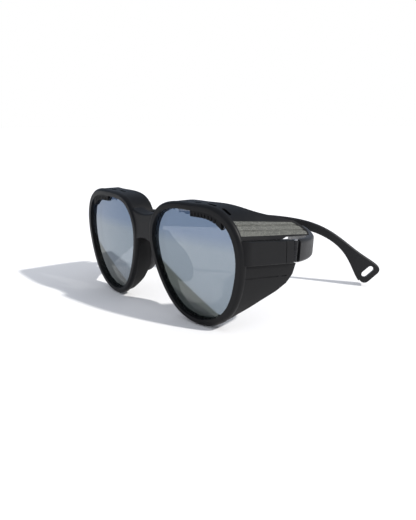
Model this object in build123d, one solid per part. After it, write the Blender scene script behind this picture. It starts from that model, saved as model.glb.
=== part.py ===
from build123d import *
import os
from math import cos, radians, sin, tan

# Glacier glasses: a moulded front with two mirrored lenses, wrap-round hoods and
# side shields, and two folding temples with a bendable core. Millimetres.
# X runs across the front (+X is the wearer's left), +Y runs back along the
# temples and +Z is up. The glasses stand on their rims and temple tips at z = 0.

# Driving dimensions
LENS_SPACING = 74.0          # between the two lens centres
LENS_HEIGHT = 31.0           # of a lens centre above the table
WRAP = 5.6                   # each rim turns back at its outer edge, degrees
LEAN = 3.5                   # the tops of the rims lean forward, degrees
SLOPE = 5.1                  # the temples fall towards their tips, degrees

BEZEL_DEPTH = 2.4            # thickness of the rim's front bezel
BEZEL_STEPS = [(0.0, 0.6), (0.8, 0.9), (2.0, 1.0)]   # its rounding: depth, share of the width
RIM_DEPTH = 7.0              # front face to the back of the rim
SHELL = 1.4                  # room for the wall of the hoods and shields
SHELL_INSET = 0.15           # how far that wall stands in from the bezel
LENS_RADIUS = 260.0          # of the lens's front surface
LENS_THICKNESS = 1.8
LENS_RECESS = 0.4            # rim face to the lens's front vertex
LENS_BITE = 0.8              # how far the lens edge sits in its groove

BLOCK_OUTER_X = 70.0
BLOCK_START_Y = 3.8
BLOCK_THICKNESS = 4.4
BLOCK_HEIGHT = 10.8
BLOCK_END_Y = 28.0           # the seam between the front and the hinge block
HINGE_X = 68.0
HINGE_Y = 35.0
HINGE_Z = 36.4
KNUCKLE_RADIUS = 1.75
KNUCKLE_HEIGHT = 3.3
KNUCKLE_GAP = 0.12
FRONT_KNUCKLES = (-KNUCKLE_HEIGHT, KNUCKLE_HEIGHT)
REAR_KNUCKLES = (0,)
PIN_RADIUS = 0.7
PIN_CLEARANCE = 0.04
BARREL_ROOM = 2.1            # from the pin's axis to the plastic on either side
LEAF_THICKNESS = 1.0
LEAF_HEIGHT = 6.4
LEAF_LENGTH = 9.0

FOLD = {"left": 6.0, "right": 13.9}    # how far each temple is folded in as it stands
# How sharply the temples curve in, seen from above: distance along, degrees per mm.
BEND = [(0, 1.9), (12, 1.35), (30, 0.75), (60, -0.18), (160, -0.15)]
BEND_STEP = 0.5
CORE_RADIUS = 0.8
CORE_END = 96.0

PANEL_TOP = 53.8             # of the grey side panel, at Y = -8
PANEL_LOW = 47.4
PANEL_THICKNESS = 0.7
PANEL_GROOVES = (52.2, 50.0)  # heights of its two long grooves, at Y = -8
GROOVE_WIDTH = 0.6
NASAL_LOW = 49.5
VENT_WIDTH = 1.7
# Slots in the top of each hood: across, back, length and sideways slope.
VENT_SLOTS = [(28.0, 2.9, 5.5, 3), (37.5, 3.1, 6.0, -2), (46.5, 3.6, 6.5, -8), (53.6, 4.6, 6.0, -22)]
COMB_DROP = 2.9              # how far the ribbed strip hangs into the opening

# The lens opening, seen from the front: outwards, up, and the rim's width there.
OPENING = [
    (0.0, 24.3, 3.2), (13.5, 23.4, 3.5), (22.6, 18.2, 3.9), (27.3, 6.5, 4.1),
    (25.8, -6.5, 4.1), (20.0, -19.2, 3.7), (10.5, -26.2, 3.3), (0.0, -28.0, 3.0),
    (-11.5, -24.6, 2.8), (-20.6, -14.8, 2.9), (-27.2, 0.0, 3.1), (-28.0, 12.0, 3.2),
    (-21.3, 21.4, 3.2), (-11.0, 24.1, 3.2),
]

# Temple stations: distance along it, height, width, pitch and thickness. Each arm's
# core is bent its own way: the left one passes under the right one.
NEAR_HINGE = [
    (BARREL_ROOM, 0.0, 10.6, 1, 4.2), (12, 0.25, 10.4, 1.5, 4.2), (22, 0.5, 10.1, 2, 4.2),
    (32, 0.85, 9.8, 2.5, 4.1), (45, 1.6, 9.3, 4, 4.0),
]
TEMPLE = {
    "right": NEAR_HINGE + [
        (60, 2.7, 8.7, 5.5, 3.8), (78, 4.5, 7.4, 4.6, 3.4), (92, 5.25, 6.4, 0.7, 3.2),
        (104, 4.9, 5.6, -5.3, 3.0), (116, 2.5, 5.1, -17.6, 3.0), (128, -3.3, 4.9, -34.8, 3.0),
        (138, -11.7, 8.0, -42.6, 3.0), (149.9, -22.9, 13.4, -43.4, 3.0),
    ],
    "left": NEAR_HINGE + [
        (57, 2.1, 8.8, 0, 3.8), (72, 0.4, 7.8, -12, 3.5), (86, -2.8, 6.7, -13, 3.3),
        (98, -5.2, 5.9, -10, 3.1), (112, -7.6, 5.2, -11, 3.0), (126, -11.2, 5.2, -18, 3.0),
        (138, -15.0, 8.0, -22, 3.0), (149.9, -19.6, 13.2, -23, 3.0),
    ],
}

os.makedirs("parts", exist_ok=True)


def lens_plane(depth=0.0):
    """Plane of the left rim's face: x outwards, y up, z forwards."""
    across = (cos(radians(WRAP)), sin(radians(WRAP)), 0)
    rise = (0, -sin(radians(LEAN)), cos(radians(LEAN)))
    normal = Vector(*across).cross(Vector(*rise))
    face = Plane(origin=(LENS_SPACING / 2, 0, LENS_HEIGHT), x_dir=across, z_dir=normal)
    return face.offset(-depth)


def closed_spline(points):
    """Smooth loop that starts and ends level at its first point."""
    loop = [Vector(*point) for point in (*points, points[0])]
    level = Vector(1, 0)
    return Edge.make_spline(loop, tangents=[level, level], scale=False)


def outline(extra=0.0, share=0.0):
    """The opening grown by a fixed amount and by a share of the rim's width."""
    edge = closed_spline([(x, y) for x, y, width in OPENING])
    grown = []
    for x, y, width in OPENING:
        along = edge % edge.param_at_point((x, y))
        step = extra + share * width
        grown.append((x - along.Y * step, y + along.X * step))
    return make_face(closed_spline(grown))


def slab(face, front, back):
    """A face of the lens plane made solid between two depths."""
    return extrude(lens_plane(back) * face, amount=back - front)


def straight_back(face, front, reach=60.0):
    """A face of the lens plane carried straight back from a depth."""
    return extrude(lens_plane(front) * face, amount=reach, dir=(0, 1, 0))


def side_prism(points, x_from, x_to):
    """An outline given in Y and Z, made solid between two X places."""
    side = Plane(origin=(x_from, 0, 0), x_dir=(0, 1, 0), z_dir=(1, 0, 0))
    return extrude(side * make_face(Polyline(*points, close=True)), amount=x_to - x_from)


def temple_line(y, height=0.0):
    """Height at Y of a line that falls with the temples through the hinge."""
    return HINGE_Z + height - (y - HINGE_Y) * tan(radians(SLOPE))


def lens_blank():
    ball_centre = lens_plane(LENS_RECESS + LENS_RADIUS).origin
    outer = Pos(*ball_centre) * Sphere(LENS_RADIUS)
    inner = Pos(*ball_centre) * Sphere(LENS_RADIUS - LENS_THICKNESS)
    blank = slab(outline(LENS_BITE), -3, RIM_DEPTH)
    return (blank & outer) - inner


def rim():
    bezel = loft([lens_plane(depth) * outline(0, share) for depth, share in BEZEL_STEPS])
    bezel = bezel + slab(outline(0, 1), BEZEL_STEPS[-1][0], BEZEL_DEPTH)
    sleeve = straight_back(outline(-SHELL, 1), BEZEL_DEPTH, RIM_DEPTH - BEZEL_DEPTH)
    ring = bezel + sleeve - slab(outline(), -1, RIM_DEPTH + 1)
    return ring - lens_blank()


def bridge_bar():
    top, bottom, half = 49.6, 36.9, 10.5
    front, back = -3.0, 4.0
    upper = ThreePointArc((-half, top + 2.0), (0, top), (half, top + 2.0))
    lower = ThreePointArc((half, bottom - 3.6), (0, bottom), (-half, bottom - 3.6))
    left = Line((half, top + 2.0), (half, bottom - 3.6))
    right = Line((-half, bottom - 3.6), (-half, top + 2.0))
    face = make_face([upper, left, lower, right])
    bar = extrude(Plane.XZ.offset(-back) * face, amount=back - front)
    lip = bar.faces().sort_by(Axis.Y)[0].edges().filter_by(GeomType.CIRCLE)
    bar = fillet(lip, 1.0)
    return bar


def bridge():
    hole = slab(outline(0, 0.5), -6, 12)
    return bridge_bar() - hole - mirror(hole, about=Plane.YZ)


def end_block():
    """The arm of the front that carries the hinge block."""
    half = BLOCK_HEIGHT / 2
    front = BLOCK_START_Y
    profile = [(front, temple_line(front, half)), (BLOCK_END_Y, temple_line(BLOCK_END_Y, half)),
               (BLOCK_END_Y, temple_line(BLOCK_END_Y, -half)), (front, temple_line(front, -half))]
    arm = side_prism(profile, BLOCK_OUTER_X - BLOCK_THICKNESS, BLOCK_OUTER_X)
    outer_edges = arm.faces().sort_by(Axis.X)[-1].edges()
    arm = fillet(outer_edges.filter_by(lambda e: e.length > BLOCK_HEIGHT + 2), 0.6)
    outer = BLOCK_OUTER_X
    plan = make_face(Polyline((50, front), (outer - 2.8, front), (outer - 1.1, front + 0.6),
                              (outer - 0.3, front + 1.7), (outer, front + 3.4), (outer, 50), (50, 50), close=True))
    arm = arm & extrude(plan, amount=70)
    opening = straight_back(outline(1.6), -2, RIM_DEPTH + 2.5)
    return arm - opening


def front_frame():
    half = rim() + end_block()
    return half + mirror(half, about=Plane.YZ) + bridge()


def shell(from_out=SHELL_INSET, to_in=SHELL):
    """A tube between two insets, that a hood, panel or shield is cut from."""
    outer = straight_back(outline(-from_out, 1), BEZEL_DEPTH)
    inner = straight_back(outline(-to_in, 1), BEZEL_DEPTH, 64)
    return outer - inner


def hood_plan():
    """Seen from above: shallow over the nose, sweeping back to the temple."""
    rear = Spline((2, 8.0), (18, 9.8), (37, 9.6), (50, 12.8), (57, 18.0), (60.5, 25.0), (63.2, 35.0), (65.0, 47))
    sides = Polyline((65.0, 47), (76, 47), (76, -8), (2, -8), (2, 8.0))
    return extrude(make_face([rear, sides]), amount=70)


def panel_zone():
    """Side view of the upper temporal wall, which falls with the temple."""
    profile = [(-8, PANEL_TOP), (37.0, PANEL_TOP - 4.6), (41.5, 46.6), (44.5, 44.2),
               (45.0, PANEL_LOW - 4.4), (-8, PANEL_LOW)]
    return side_prism(profile, 50, 80)


def vent_slots():
    slots = []
    for across, back, length, turn in VENT_SLOTS:
        cutter = extrude(Plane.XY * SlotOverall(length, VENT_WIDTH), amount=8)
        rise = 54.0 if across < 50 else 50.5
        slots.append(Pos(across, back, rise) * Rot(0, -turn, 0) * cutter)
    return slots


def hood():
    rest = BLOCK_HEIGHT / 2 + 0.1
    low = [(-8, temple_line(-8, rest)), (BLOCK_END_Y, temple_line(BLOCK_END_Y, rest)),
           (BLOCK_END_Y + 3, PANEL_LOW - 4.1), (46.0, PANEL_LOW - 5.0), (50, 70), (-8, 70)]
    temporal = side_prism(low, 34, 80)
    nasal = side_prism([(-8, NASAL_LOW), (20, NASAL_LOW), (20, 70), (-8, 70)], 2, 34)
    back = [(-8, 20), (46.0, 20), (46.0, 43.6), (45.4, 44.9), (42.4, 47.4), (37.8, 50.4),
            (31.0, 53.4), (24.0, 60), (-8, 70)]
    body = shell() & (temporal + nasal) & hood_plan() & side_prism(back, 2, 80)
    body = body - bridge_bar() - (shell(-0.5, SHELL_INSET + PANEL_THICKNESS) & panel_zone())
    for slot in vent_slots():
        body = body - slot
    return body


def side_panel():
    plate = shell(SHELL_INSET, SHELL_INSET + PANEL_THICKNESS) & panel_zone() & hood_plan()
    band = shell(-0.5, SHELL_INSET + 0.35)
    for height in PANEL_GROOVES:
        low = height - GROOVE_WIDTH
        line = [(-8, height), (47, height - 5.0), (47, low - 5.0), (-8, low)]
        plate = plate - (band & side_prism(line, 50, 80))
    return plate


def lower_shield():
    half = BLOCK_HEIGHT / 2 + 0.3
    profile = [(-6, temple_line(-6, -half)), (37.0, temple_line(37.0, -half)), (36.0, 25.2),
               (33.4, 21.2), (28.0, 17.8), (20.0, 14.4), (9.5, 9.0), (2.0, 1.8), (-6, 1.0)]
    body = shell() & side_prism(profile, 46, 80)
    dash = shell(-0.5, 0.5)
    for y_from, y_to in ((6.0, 26.5), (28.5, 32.0)):
        top_from = temple_line(y_from, -11.3)
        top_to = temple_line(y_to, -11.3)
        line = [(y_from, top_from), (y_to, top_to), (y_to, top_to - 0.6), (y_from, top_from - 0.6)]
        body = body - (dash & side_prism(line, 46, 80))
    return body


def nasal_guard():
    profile = [(-6, 36.5), (8.0, 34.5), (8.6, 20.0), (7.6, 12.0), (4.6, 5.0), (-6, 2.0)]
    return (shell() & side_prism(profile, 2, 27)) - bridge_bar()


def vent_comb():
    """Ribbed strip that hangs in the upper outer part of the opening."""
    ring = slab(outline(0.0) - outline(-COMB_DROP), 0.3, 2.4) - lens_blank()
    zone = Pos(LENS_SPACING / 2 + 9.7, 0, LENS_HEIGHT + 22) * Box(19.4, 14, 14)
    strip = ring & zone
    for i in range(8):
        tooth_gap = Pos(LENS_SPACING / 2 + 1.2 + i * 2.1, 0, LENS_HEIGHT + 19.5) * Box(0.7, 14, 30)
        strip = strip - (tooth_gap & slab(outline(-0.9), -1, 4))
    return strip


def nose_pad():
    """Soft wing lofted through level sections from top to bottom."""
    levels = [(41.0, 6.0, 6.4, 2.0, 1.0, 70), (35.0, 7.4, 8.6, 3.6, 1.2, 62), (28.0, 10.2, 11.2, 5.3, 1.3, 58),
              (21.0, 13.4, 12.2, 5.2, 1.3, 58), (16.0, 16.4, 11.2, 3.0, 1.0, 60)]
    sections = []
    for z, x, y, half_length, half_thick, turn in levels:
        sections.append(Pos(x, y, z) * Rot(0, 0, turn) * Ellipse(half_length, half_thick))
    return loft(sections)


def hinge_place():
    """Where the pin stands on the left side, square to the sloping temples."""
    return Pos(HINGE_X, HINGE_Y, HINGE_Z) * Rot(-SLOPE, 0, 0)


def knuckles(levels):
    barrel = None
    for level in levels:
        knuckle = Pos(0, 0, level) * Cylinder(KNUCKLE_RADIUS, KNUCKLE_HEIGHT - KNUCKLE_GAP)
        barrel = knuckle if barrel is None else barrel + knuckle
    return barrel


def hinge_leaf(levels, way):
    """Knuckles and the plate that ties them into the plastic."""
    plate = Pos(0, way * LEAF_LENGTH / 2, 0) * Box(LEAF_THICKNESS, LEAF_LENGTH, LEAF_HEIGHT)
    for level in (-KNUCKLE_HEIGHT, 0, KNUCKLE_HEIGHT):
        if level not in levels:
            plate = plate - Pos(0, 0, level) * Cylinder(BARREL_ROOM, KNUCKLE_HEIGHT + KNUCKLE_GAP)
    leaf = plate + knuckles(levels)
    return leaf - Cylinder(PIN_RADIUS + PIN_CLEARANCE, 20)


def hinge_screw():
    length = 3 * KNUCKLE_HEIGHT
    shaft = Cylinder(PIN_RADIUS, length)
    head = Pos(0, 0, length / 2 + 0.3) * Cylinder(KNUCKLE_RADIUS - 0.4, 0.6)
    slot = Pos(0, 0, length / 2 + 0.6) * Box(4, 0.4, 0.5)
    return shaft + head - slot


def hinge_block():
    half = BLOCK_HEIGHT / 2
    back = HINGE_Y - BARREL_ROOM
    front = BLOCK_END_Y + 0.35
    profile = [(front, temple_line(front, half)), (back, temple_line(back, half)),
               (back, temple_line(back, -half)), (front, temple_line(front, -half))]
    block = side_prism(profile, BLOCK_OUTER_X - BLOCK_THICKNESS, BLOCK_OUTER_X)
    edges = block.faces().sort_by(Axis.X)[-1].edges()
    block = fillet(edges.filter_by(Axis.Z, reverse=True), 0.6)
    tongue = Pos(HINGE_X, BLOCK_END_Y - 1.2, HINGE_Z) * Box(2.0, 3.2, 7.0)
    return block + tongue


def between(table, at):
    """A value read off a table of pairs by straight lines."""
    for (low, first), (high, second) in zip(table, table[1:]):
        if at <= high:
            return first + (second - first) * max(at - low, 0) / (high - low)
    return table[-1][1]


def plan_point(u):
    """Place and heading on the temple's middle line, seen from above."""
    x, y, heading, gone = 0.0, 0.0, 0.0, 0.0
    while gone < u:
        step = min(BEND_STEP, u - gone)
        heading += radians(between(BEND, gone + step / 2)) * step
        x -= sin(heading) * step
        y += cos(heading) * step
        gone += step
    return x, y, heading


def temple_section_plane(u, height, pitch):
    x, y, turn = plan_point(u)
    lateral = (cos(turn), sin(turn), 0)
    tilt = radians(pitch)
    ahead = (-sin(turn) * cos(tilt), cos(turn) * cos(tilt), sin(tilt))
    return Plane(origin=(x, y, height), x_dir=lateral, z_dir=ahead)


def core_wire(stations):
    """Bendable wire inside the temple, following its middle."""
    heights = [(u, height) for u, height, *rest in stations]
    points = []
    u = LEAF_LENGTH
    while u <= CORE_END:
        x, y, turn = plan_point(u)
        points.append((x, y, between(heights, u)))
        u += 14.5
    path = Spline(*points)
    section = Plane(origin=path @ 0, z_dir=path % 0) * Circle(CORE_RADIUS)
    return sweep(section, path=path)


def temple_arm(stations):
    sections = []
    for u, height, width, pitch, thickness in stations:
        place = temple_section_plane(u, height, pitch)
        sections.append(place * RectangleRounded(thickness, width, thickness * 0.36))
    arm = loft(sections)
    u, height, width, pitch, thickness = stations[-1]
    end = temple_section_plane(u, height, pitch)
    side = Plane(origin=end.origin, x_dir=end.z_dir, z_dir=end.x_dir)
    corner_room = extrude(side * Rectangle(8, width + 6), amount=6, both=True)
    rounded = extrude(side * Pos(-20, 0) * RectangleRounded(40, width, 3.2), amount=6, both=True)
    lanyard_slot = extrude(side * Pos(-4.6, 0) * Rot(0, 0, 90) * SlotOverall(8.0, 3.6), amount=6, both=True)
    return arm - (corner_room - rounded) - lanyard_slot


def place_temple(shape, fold):
    return hinge_place() * Rot(0, 0, fold) * shape


def mirrored(shape):
    return mirror(shape, about=Plane.YZ)


def write(name, shape):
    shape.label = name
    export_step(shape, f"parts/{name}.step")


def main():
    sides = {"left": lambda shape: shape, "right": mirrored}
    plain_block = hinge_block()
    front_leaf = hinge_place() * hinge_leaf(FRONT_KNUCKLES, -1)
    frame = front_frame() - plain_block - mirrored(plain_block)
    fixed = {
        "lens": lens_blank(),
        "hood": hood(),
        "side_panel": side_panel(),
        "lower_shield": lower_shield(),
        "nasal_guard": nasal_guard(),
        "vent_comb": vent_comb(),
        "nose_pad": nose_pad() - nasal_guard(),
        "hinge_block": plain_block - front_leaf,
        "hinge_front_leaf": front_leaf,
        "hinge_screw": hinge_place() * hinge_screw(),
    }
    rear_leaf = hinge_leaf(REAR_KNUCKLES, 1)
    for side, placed in sides.items():
        frame = frame - placed(front_leaf)
        for name, shape in fixed.items():
            write(f"{side}_{name}", placed(shape))
        wire = core_wire(TEMPLE[side]) - rear_leaf
        swinging = {
            "temple": temple_arm(TEMPLE[side]) - rear_leaf - wire,
            "core_wire": wire,
            "hinge_rear_leaf": rear_leaf,
        }
        for name, shape in swinging.items():
            write(f"{side}_{name}", placed(place_temple(shape, FOLD[side])))
    write("front_frame", frame)


main()
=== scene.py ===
import bpy
from math import radians
from mathutils import Matrix, Vector


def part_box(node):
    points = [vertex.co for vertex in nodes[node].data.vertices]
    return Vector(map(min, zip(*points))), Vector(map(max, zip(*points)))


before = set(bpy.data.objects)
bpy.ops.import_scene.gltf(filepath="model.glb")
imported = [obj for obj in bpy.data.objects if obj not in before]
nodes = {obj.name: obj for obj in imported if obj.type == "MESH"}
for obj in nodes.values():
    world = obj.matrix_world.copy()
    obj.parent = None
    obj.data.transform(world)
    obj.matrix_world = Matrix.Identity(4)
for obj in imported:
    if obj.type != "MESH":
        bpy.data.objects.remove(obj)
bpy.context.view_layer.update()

sides = ("left", "right")


# shader helpers

def newGroup(name, inputs, outputs):
    # an empty shader group with its named sockets
    group = bpy.data.node_groups.new(name, "ShaderNodeTree")
    for label, kind, value in inputs:
        socket = group.interface.new_socket(name=label, in_out="INPUT",
                                            socket_type="NodeSocket" + kind)
        socket.default_value = value
    for label, kind in outputs:
        group.interface.new_socket(name=label, in_out="OUTPUT", socket_type="NodeSocket" + kind)
    start = group.nodes.new("NodeGroupInput")
    end = group.nodes.new("NodeGroupOutput")
    return group, start, end


def addNode(tree, kind, settings=None, **values):
    # a node with its settings, its plain values and its links
    node = tree.nodes.new("ShaderNode" + kind)
    for key, value in (settings or {}).items():
        setattr(node, key, value)
    for key, value in values.items():
        slot = int(key[2:]) if key.startswith("in") and key[2:].isdigit() else key.replace("_", " ")
        if isinstance(value, bpy.types.NodeSocket):
            tree.links.new(value, node.inputs[slot])
        else:
            node.inputs[slot].default_value = value
    return node


def calc(tree, operation, first, second=0.0):
    # one Math node's result
    return addNode(tree, "Math", {"operation": operation}, in0=first, in1=second).outputs[0]


def between(tree, value, low, high, newLow=0.0, newHigh=1.0):
    # a value spread from one range over another, held at both ends
    node = addNode(tree, "MapRange", {"clamp": True}, Value=value, From_Min=low, From_Max=high,
                   To_Min=newLow, To_Max=newHigh)
    return node.outputs["Result"]


def blendColours(tree, share, first, second):
    node = addNode(tree, "Mix", {"data_type": "RGBA"}, in0=share, in6=first, in7=second)
    return node.outputs[2]


grainShape = {
    "fineDetail": 3.0, "fineRough": 0.6, "slowDetail": 4.0, "slowRough": 0.65,
    "pitReach": 0.8, "pitFloor": 0.6, "mottleLow": 0.32, "mottleHigh": 0.68,
}


def makeGrainGroup(shape):
    # fine moulded texture, with slow changes of tone over it
    group, start, end = newGroup("mouldedGrain", [
        ("Grain Scale", "Float", 2200.0), ("Mottle Scale", "Float", 45.0)],
        [("Height", "Float"), ("Mottle", "Float")])
    place = addNode(group, "TexCoord").outputs["Object"]
    fine = addNode(group, "TexNoise", None, Vector=place, Scale=start.outputs[0],
                   Detail=shape["fineDetail"], Roughness=shape["fineRough"])
    pits = addNode(group, "TexVoronoi", None, Vector=place, Scale=start.outputs[0])
    slow = addNode(group, "TexNoise", None, Vector=place, Scale=start.outputs[1],
                   Detail=shape["slowDetail"], Roughness=shape["slowRough"])
    hollows = between(group, pits.outputs[0], 0.0, shape["pitReach"], shape["pitFloor"], 1.0)
    height = calc(group, "MULTIPLY", fine.outputs[0], hollows)
    group.links.new(height, end.inputs[0])
    mottle = between(group, slow.outputs[0], shape["mottleLow"], shape["mottleHigh"])
    group.links.new(mottle, end.inputs[1])
    return group


edgeShape = {
    "samples": 6, "sharpLow": 0.02, "sharpHigh": 0.2, "detail": 5.0, "rough": 0.7,
    "breakLow": 0.38, "breakHigh": 0.66,
}


def makeEdgeGroup(shape):
    # rubbed edges: where the rounded normal leaves the true one, broken up by noise
    group, start, end = newGroup("rubbedEdges", [
        ("Radius", "Float", 0.0005), ("Breakup Scale", "Float", 260.0)], [("Edge", "Float")])
    soft = addNode(group, "Bevel", {"samples": shape["samples"]}, Radius=start.outputs[0]).outputs[0]
    true = addNode(group, "NewGeometry").outputs["Normal"]
    match = addNode(group, "VectorMath", {"operation": "DOT_PRODUCT"}, in0=soft, in1=true)
    apart = calc(group, "SUBTRACT", 1.0, match.outputs["Value"])
    sharp = between(group, apart, shape["sharpLow"], shape["sharpHigh"])
    place = addNode(group, "TexCoord").outputs["Object"]
    broken = addNode(group, "TexNoise", None, Vector=place, Scale=start.outputs[1],
                     Detail=shape["detail"], Roughness=shape["rough"])
    kept = between(group, broken.outputs[0], shape["breakLow"], shape["breakHigh"])
    group.links.new(calc(group, "MULTIPLY", sharp, kept), end.inputs[0])
    return group


dustShape = {
    "slopeLow": 0.1, "slopeHigh": 0.95, "speckOuter": 0.16, "speckInner": 0.05, "speckStrength": 0.5,
    "patchScale": 70.0, "detail": 5.0, "rough": 0.7, "patchLow": 0.45, "patchHigh": 0.75,
}


def makeDustGroup(shape):
    # specks and a thin film that settle on what faces up
    group, start, end = newGroup("settledDust", [
        ("Speck Scale", "Float", 900.0), ("Film", "Float", 0.4)], [("Dust", "Float")])
    place = addNode(group, "TexCoord").outputs["Object"]
    facing = addNode(group, "SeparateXYZ", None, in0=addNode(group, "NewGeometry").outputs["Normal"])
    level = between(group, facing.outputs["Z"], shape["slopeLow"], shape["slopeHigh"])
    specks = addNode(group, "TexVoronoi", None, Vector=place, Scale=start.outputs[0])
    dots = between(group, specks.outputs[0], shape["speckOuter"], shape["speckInner"])
    dots = calc(group, "MULTIPLY", dots, shape["speckStrength"])
    patches = addNode(group, "TexNoise", None, Vector=place, Scale=shape["patchScale"],
                      Detail=shape["detail"], Roughness=shape["rough"])
    film = between(group, patches.outputs[0], shape["patchLow"], shape["patchHigh"])
    film = calc(group, "MULTIPLY", film, start.outputs[1])
    dust = calc(group, "MULTIPLY", calc(group, "MAXIMUM", dots, film), level)
    group.links.new(dust, end.inputs[0])
    return group


flakeShape = {"fineStart": 0.55, "coarseStart": 0.72}


def makeSpeckleGroup(shape):
    # light flakes of two sizes mixed into a dark plastic
    group, start, end = newGroup("metalFlakes", [
        ("Fine Scale", "Float", 3400.0), ("Coarse Scale", "Float", 1500.0)],
        [("Flakes", "Float")])
    place = addNode(group, "TexCoord").outputs["Object"]
    fine = addNode(group, "TexVoronoi", None, Vector=place, Scale=start.outputs[0])
    coarse = addNode(group, "TexVoronoi", None, Vector=place, Scale=start.outputs[1])
    tint = addNode(group, "SeparateColor", None, in0=fine.outputs["Color"]).outputs[0]
    shade = addNode(group, "SeparateColor", None, in0=coarse.outputs["Color"]).outputs[1]
    small = between(group, tint, shape["fineStart"], 1.0)
    large = between(group, shade, shape["coarseStart"], 1.0)
    group.links.new(calc(group, "MAXIMUM", small, large), end.inputs[0])
    return group


# heights in metres for the slanted line under which the painted shadow lies, shares of the lens's height for
# the blue top of painted sky reflection
tintAndPaintedReflectionShape = {
    "lineLow": 0.0150, "lineHigh": 0.0164, "blueStart": 0.66, "blueFull": 0.78,
    "smearScale": 60.0, "detail": 5.0, "rough": 0.7, "twist": 1.5, "smearLow": 0.35, "smearHigh": 0.75,
}


def makeTintAndPaintedReflectionGroup(shape):
    # mirror coating: its own grey tint in the middle, with painted light over it: a painted sky reflection
    # makes the top bluer, and below a slanted line a painted shadow, the shadowed floor seen in the lens,
    # makes the bottom darker and greener
    group, start, end = newGroup("mirrorTintAndPaintedReflection", [
        ("Top", "Color", (0, 0, 0, 1)), ("Middle", "Color", (0, 0, 0, 1)),
        ("Bottom", "Color", (0, 0, 0, 1)), ("Low", "Float", 0.0), ("High", "Float", 1.0),
        ("Centre", "Float", 0.0), ("Slant", "Float", 0.6)],
        [("Color", "Color"), ("Smear", "Float")])
    place = addNode(group, "TexCoord").outputs["Object"]
    split = addNode(group, "SeparateXYZ", None, in0=place)
    rise = addNode(group, "MapRange", {"clamp": True}, Value=split.outputs["Z"], From_Min=start.outputs[3],
                   From_Max=start.outputs[4]).outputs["Result"]
    aside = calc(group, "SUBTRACT", split.outputs["X"], start.outputs[5])
    slanted = calc(group, "ADD", split.outputs["Z"], calc(group, "MULTIPLY", aside, start.outputs[6]))
    # painted shadow: below this slanted line the lens takes the dark bottom colour of the shadowed floor
    # seen in it
    paintedShadowZone = between(group, slanted, shape["lineLow"], shape["lineHigh"])
    lower = blendColours(group, paintedShadowZone, start.outputs[2], start.outputs[1])
    # painted reflection: the top of the lens turns to the blue of a sky reflection
    blue = between(group, rise, shape["blueStart"], shape["blueFull"])
    smear = addNode(group, "TexNoise", None, Vector=place, Scale=shape["smearScale"],
                    Detail=shape["detail"], Roughness=shape["rough"], Distortion=shape["twist"])
    group.links.new(blendColours(group, blue, lower, start.outputs[0]), end.inputs[0])
    smeared = between(group, smear.outputs[0], shape["smearLow"], shape["smearHigh"])
    group.links.new(smeared, end.inputs[1])
    return group


brushShape = {"stretch": (0.06, 0.06, 1.0), "detail": 4.0, "streakLow": 0.35, "streakHigh": 0.65}


def makeBrushGroup(shape):
    # fine turned lines round the hinge parts
    group, start, end = newGroup("brushedLines", [("Line Scale", "Float", 900.0)],
                             [("Height", "Float"), ("Streak", "Float")])
    place = addNode(group, "TexCoord").outputs["Object"]
    flat = addNode(group, "Mapping", None, Vector=place, Scale=shape["stretch"])
    lines = addNode(group, "TexNoise", None, Vector=flat.outputs[0], Scale=start.outputs[0],
                    Detail=shape["detail"])
    group.links.new(lines.outputs[0], end.inputs[0])
    streak = between(group, lines.outputs[0], shape["streakLow"], shape["streakHigh"])
    group.links.new(streak, end.inputs[1])
    return group


grainGroup = makeGrainGroup(grainShape)
edgeGroup = makeEdgeGroup(edgeShape)
dustGroup = makeDustGroup(dustShape)
speckleGroup = makeSpeckleGroup(flakeShape)
tintAndPaintedReflectionGroup = makeTintAndPaintedReflectionGroup(tintAndPaintedReflectionShape)
brushGroup = makeBrushGroup(brushShape)
print("shader groups made")


def useGroup(tree, group, **values):
    node = tree.nodes.new("ShaderNodeGroup")
    node.node_tree = group
    for key, value in values.items():
        node.inputs[key.replace("_", " ")].default_value = value
    return node


def newMaterial(name, plain):
    # an empty material whose shader already has its plain values
    material = bpy.data.materials.new(name)
    material.use_nodes = True
    tree = material.node_tree
    shader = tree.nodes["Principled BSDF"]
    for key, value in plain.items():
        shader.inputs[key].default_value = value
    return material, tree, shader


def rgba(colour):
    return (*colour, 1.0)


def addBump(tree, shader, height, strength, distance):
    bump = addNode(tree, "Bump", None, Strength=strength, Distance=distance, Height=height)
    tree.links.new(bump.outputs[0], shader.inputs["Normal"])


def plasticMaterial(name, look):
    # moulded plastic or rubber: mottled tone, grain, rubbed edges and dust
    material, tree, shader = newMaterial(name, look["plain"])
    grain = useGroup(tree, grainGroup, Grain_Scale=look["grainScale"], Mottle_Scale=look["mottleScale"])
    edge = useGroup(tree, edgeGroup, Radius=look["edgeRadius"])
    dust = useGroup(tree, dustGroup, Film=look["dustFilm"])
    colour = blendColours(tree, grain.outputs["Mottle"], rgba(look["dark"]), rgba(look["light"]))
    if "flakes" in look:
        mix = look["flakes"]
        flakes = useGroup(tree, speckleGroup, Fine_Scale=mix["fine"], Coarse_Scale=mix["coarse"])
        colour = blendColours(tree, flakes.outputs["Flakes"], colour, rgba(mix["colour"]))
    worn = calc(tree, "MULTIPLY", edge.outputs[0], look["wear"])
    colour = blendColours(tree, worn, colour, rgba(look["wornColour"]))
    dusted = calc(tree, "MULTIPLY", dust.outputs[0], look["dust"])
    colour = blendColours(tree, dusted, colour, rgba(look["dustColour"]))
    tree.links.new(colour, shader.inputs["Base Color"])
    rough = between(tree, grain.outputs["Mottle"], 0.0, 1.0, look["roughLow"], look["roughHigh"])
    rough = calc(tree, "SUBTRACT", rough, calc(tree, "MULTIPLY", edge.outputs[0], look["edgePolish"]))
    rough = calc(tree, "ADD", rough, calc(tree, "MULTIPLY", dusted, look["dustRough"]))
    tree.links.new(rough, shader.inputs["Roughness"])
    addBump(tree, shader, grain.outputs["Height"], look["bump"], look["bumpDepth"])
    return material


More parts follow.
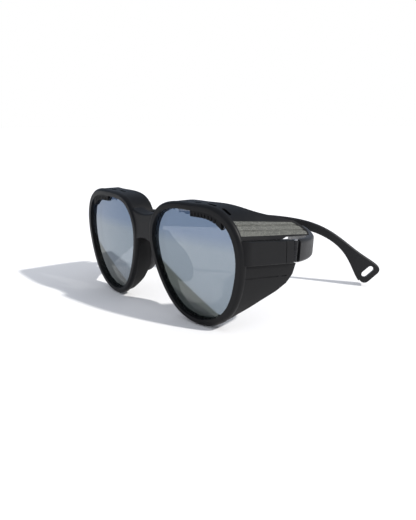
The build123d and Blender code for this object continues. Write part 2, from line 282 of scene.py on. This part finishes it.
def metalMaterial(name, look):
    material, tree, shader = newMaterial(name, look["plain"])
    brush = useGroup(tree, brushGroup, Line_Scale=look["lineScale"])
    edge = useGroup(tree, edgeGroup, Radius=look["edgeRadius"])
    colour = blendColours(tree, brush.outputs["Streak"], rgba(look["dark"]), rgba(look["light"]))
    colour = blendColours(tree, edge.outputs[0], colour, rgba(look["wornColour"]))
    tree.links.new(colour, shader.inputs["Base Color"])
    rough = between(tree, brush.outputs["Streak"], 0.0, 1.0, look["roughLow"], look["roughHigh"])
    tree.links.new(rough, shader.inputs["Roughness"])
    addBump(tree, shader, brush.outputs["Height"], look["bump"], look["bumpDepth"])
    return material


def lensMaterial(name, look, lens):
    # the coating's tint, its painted sky reflection and its painted shadow follow each lens's own height and
    # middle
    low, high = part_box(lens)
    material, tree, shader = newMaterial(name, look["plain"])
    tint = useGroup(tree, tintAndPaintedReflectionGroup, Top=rgba(look["top"]), Middle=rgba(look["middle"]),
                    Bottom=rgba(look["bottom"]), Low=low.z, High=high.z, Centre=(low.x + high.x) / 2,
                    Slant=look["slant"])
    dust = useGroup(tree, dustGroup, Speck_Scale=look["speckScale"])
    colour = blendColours(tree, calc(tree, "MULTIPLY", dust.outputs[0], look["dust"]), tint.outputs["Color"],
                          rgba(look["dustColour"]))
    tree.links.new(colour, shader.inputs["Base Color"])
    rough = between(tree, tint.outputs["Smear"], 0.0, 1.0, look["roughLow"], look["roughHigh"])
    tree.links.new(rough, shader.inputs["Roughness"])
    return material


frameLook = {
    "dark": (0.0042, 0.0042, 0.0046), "light": (0.0072, 0.0072, 0.0078),
    "wornColour": (0.04, 0.041, 0.044), "dustColour": (0.22, 0.22, 0.22),
    "grainScale": 2400.0, "mottleScale": 50.0, "edgeRadius": 0.0005, "roughLow": 0.4, "roughHigh": 0.5,
    "wear": 0.35, "edgePolish": 0.12, "dust": 0.1, "dustFilm": 0.3, "dustRough": 0.3,
    "bump": 0.25, "bumpDepth": 0.0001, "plain": {"Specular IOR Level": 0.17},
}
hoodLook = dict(frameLook, roughLow=0.46, roughHigh=0.56, grainScale=2000.0, bump=0.35, dust=0.14)
shieldLook = dict(frameLook, dark=(0.004, 0.004, 0.0043), light=(0.0065, 0.0065, 0.007),
                  roughLow=0.5, roughHigh=0.6, plain={"Specular IOR Level": 0.15})
ventLook = dict(frameLook, roughLow=0.55, roughHigh=0.7, wear=0.2)
panelLook = dict(frameLook, dark=(0.05, 0.052, 0.046), light=(0.07, 0.072, 0.065),
                 wornColour=(0.26, 0.26, 0.24), roughLow=0.45, roughHigh=0.6, wear=0.8, bump=0.3,
                 flakes={"fine": 5200.0, "coarse": 2400.0, "colour": (0.15, 0.153, 0.138)},
                 plain={"Specular IOR Level": 0.3})
padLook = dict(frameLook, dark=(0.012, 0.012, 0.013), light=(0.018, 0.018, 0.02),
               roughLow=0.5, roughHigh=0.62, wear=0.15, mottleScale=90.0)
templeLook = dict(frameLook, dark=(0.005, 0.005, 0.0055), light=(0.009, 0.009, 0.0098),
                  roughLow=0.42, roughHigh=0.52, grainScale=3200.0, bump=0.18, wear=0.25,
                  plain={"Specular IOR Level": 0.26, "Sheen Weight": 0.05})
steelLook = {
    "dark": (0.012, 0.012, 0.013), "light": (0.03, 0.03, 0.032), "wornColour": (0.2, 0.2, 0.21),
    "lineScale": 5200.0, "edgeRadius": 0.0002, "roughLow": 0.28, "roughHigh": 0.45,
    "bump": 0.2, "bumpDepth": 0.00005,
    "plain": {"Metallic": 0.8},
}
screwLook = dict(steelLook, dark=(0.25, 0.25, 0.26), light=(0.42, 0.42, 0.43), wornColour=(0.6, 0.6, 0.6))
# top is a painted sky reflection and bottom a painted shadow of the floor seen in the lens; middle is the
# coating's own tint
lensLook = {
    "top": (0.17, 0.235, 0.34), "middle": (0.26, 0.315, 0.365), "bottom": (0.085, 0.102, 0.095),
    "slant": 0.55, "dustColour": (0.5, 0.5, 0.5), "speckScale": 1100.0, "dust": 0.5,
    "roughLow": 0.03, "roughHigh": 0.07,
    "plain": {"Metallic": 0.9, "Alpha": 0.74, "Coat Weight": 0.2, "Coat Roughness": 0.03},
}

finishes = {
    "frame": plasticMaterial("frameMatt", frameLook),
    "hood": plasticMaterial("hoodMatt", hoodLook),
    "shield": plasticMaterial("shieldMatt", shieldLook),
    "vent": plasticMaterial("ventMatt", ventLook),
    "panel": plasticMaterial("panelFlaked", panelLook),
    "pad": plasticMaterial("padSoft", padLook),
    "temple": plasticMaterial("templeSoft", templeLook),
    "steel": metalMaterial("hingeSteel", steelLook),
    "screw": metalMaterial("screwSteel", screwLook),
    "left_lens": lensMaterial("leftLensMirror", lensLook, "left_lens"),
    "right_lens": lensMaterial("rightLensMirror", lensLook, "right_lens"),
}
print("materials made")

# which finish each kind of CAD part takes, and how much its edges are rounded, in metres
partFinish = {
    "hood": ("hood", 0.00022), "side_panel": ("panel", 0.00012),
    "lower_shield": ("shield", 0.00022), "nasal_guard": ("shield", 0.0003), "vent_comb": ("vent", 0.0001),
    "nose_pad": ("pad", 0.0), "hinge_block": ("frame", 0.0002), "hinge_front_leaf": ("steel", 0.0001),
    "hinge_screw": ("screw", 0.00008), "temple": ("temple", 0.0003), "core_wire": ("screw", 0.0),
    "hinge_rear_leaf": ("steel", 0.0001),
}


# the weld distance is in metres, the angle in degrees
edgeRounding = {"weld": 0.000001, "angle": 38, "segments": 2, "evenness": 60}


def finishPart(part, finish, rounding):
    part.data.materials.clear()
    part.data.materials.append(finishes[finish])
    weld = part.modifiers.new("joinSeams", "WELD")
    weld.merge_threshold = edgeRounding["weld"]
    if rounding:
        bevel = part.modifiers.new("roundEdges", "BEVEL")
        bevel.width = rounding
        bevel.segments = edgeRounding["segments"]
        bevel.angle_limit = radians(edgeRounding["angle"])
        bevel.use_clamp_overlap = True
    even = part.modifiers.new("evenShading", "WEIGHTED_NORMAL")
    even.weight = edgeRounding["evenness"]


frontRounding = 0.0003
finishPart(nodes["front_frame"], "frame", frontRounding)
for side in sides:
    finishPart(nodes[f"{side}_lens"], f"{side}_lens", 0.0)
    for part, (finish, rounding) in partFinish.items():
        finishPart(nodes[f"{side}_{part}"], finish, rounding)
print("parts finished")


# floor, light and camera

floorLook = {
    "reach": 12.0, "colour": (0.93, 0.93, 0.935), "shade": (0.905, 0.91, 0.92),
    "grainScale": 900.0, "mottleScale": 8.0, "plain": {"Roughness": 0.9, "Specular IOR Level": 0.1},
}


def makeFloor(look):
    reach = look["reach"]
    mesh = bpy.data.meshes.new("floor")
    corners = [(-reach, -reach, 0), (reach, -reach, 0), (reach, reach, 0), (-reach, reach, 0)]
    mesh.from_pydata(corners, [], [(0, 1, 2, 3)])
    floor = bpy.data.objects.new("floor", mesh)
    bpy.context.collection.objects.link(floor)
    material, tree, shader = newMaterial("paleFloor", look["plain"])
    grain = useGroup(tree, grainGroup, Grain_Scale=look["grainScale"], Mottle_Scale=look["mottleScale"])
    tone = blendColours(tree, grain.outputs["Mottle"], rgba(look["shade"]), rgba(look["colour"]))
    tree.links.new(tone, shader.inputs["Base Color"])
    mesh.materials.append(material)


skyLook = {"light": (0.90, 0.93, 1.0), "strength": 0.72, "gloss": (0.42, 0.50, 0.64), "glossStrength": 0.75}


def makeSky(look):
    # white to the eye, a little blue as light, darker in the mirror of the parts
    world = bpy.data.worlds.new("studio")
    bpy.context.scene.world = world
    world.use_nodes = True
    tree = world.node_tree
    tree.nodes.clear()
    rays = addNode(tree, "LightPath")
    soft = addNode(tree, "Background", None, Color=rgba(look["light"]), Strength=look["strength"])
    gloss = addNode(tree, "Background", None, Color=rgba(look["gloss"]), Strength=look["glossStrength"])
    white = addNode(tree, "Background", None, Color=(1, 1, 1, 1), Strength=1.0)
    lit = addNode(tree, "MixShader", None, in0=rays.outputs["Is Glossy Ray"],
                  in1=soft.outputs[0], in2=gloss.outputs[0])
    seen = addNode(tree, "MixShader", None, in0=rays.outputs["Is Camera Ray"],
                   in1=lit.outputs[0], in2=white.outputs[0])
    end = tree.nodes.new("ShaderNodeOutputWorld")
    tree.links.new(seen.outputs[0], end.inputs["Surface"])


sunLook = {
    "towards": (0.747, 0.236, 0.622), "strength": 3.3, "softness": 2.5, "colour": (1.0, 0.97, 0.93),
}


def makeSun(look):
    light = bpy.data.lights.new("sun", "SUN")
    light.energy = look["strength"]
    light.angle = radians(look["softness"])
    light.color = look["colour"]
    sun = bpy.data.objects.new("sun", light)
    bpy.context.collection.objects.link(sun)
    sun.rotation_euler = Vector(look["towards"]).to_track_quat("Z", "Y").to_euler()


cameraLook = {
    "place": (0.2564, -0.1679, 0.0936), "azimuth": 51.06, "down": 12.61, "roll": -0.16,
    "lens": 42.23, "sensor": 36.0, "near": 0.005, "far": 60.0,
}


def makeCamera(look):
    data = bpy.data.cameras.new("camera")
    data.lens = look["lens"]
    data.sensor_width = look["sensor"]
    data.sensor_fit = "AUTO"
    data.clip_start = look["near"]
    data.clip_end = look["far"]
    camera = bpy.data.objects.new("camera", data)
    bpy.context.collection.objects.link(camera)
    turn = Matrix.Rotation(radians(look["azimuth"]), 4, "Z")
    tilt = Matrix.Rotation(radians(90 - look["down"]), 4, "X")
    roll = Matrix.Rotation(radians(look["roll"]), 4, "Z")
    camera.matrix_world = Matrix.Translation(look["place"]) @ turn @ tilt @ roll
    bpy.context.scene.camera = camera


makeFloor(floorLook)
makeSky(skyLook)
makeSun(sunLook)
makeCamera(cameraLook)
bpy.context.scene.view_settings.view_transform = "Standard"
print("floor, light and camera made")
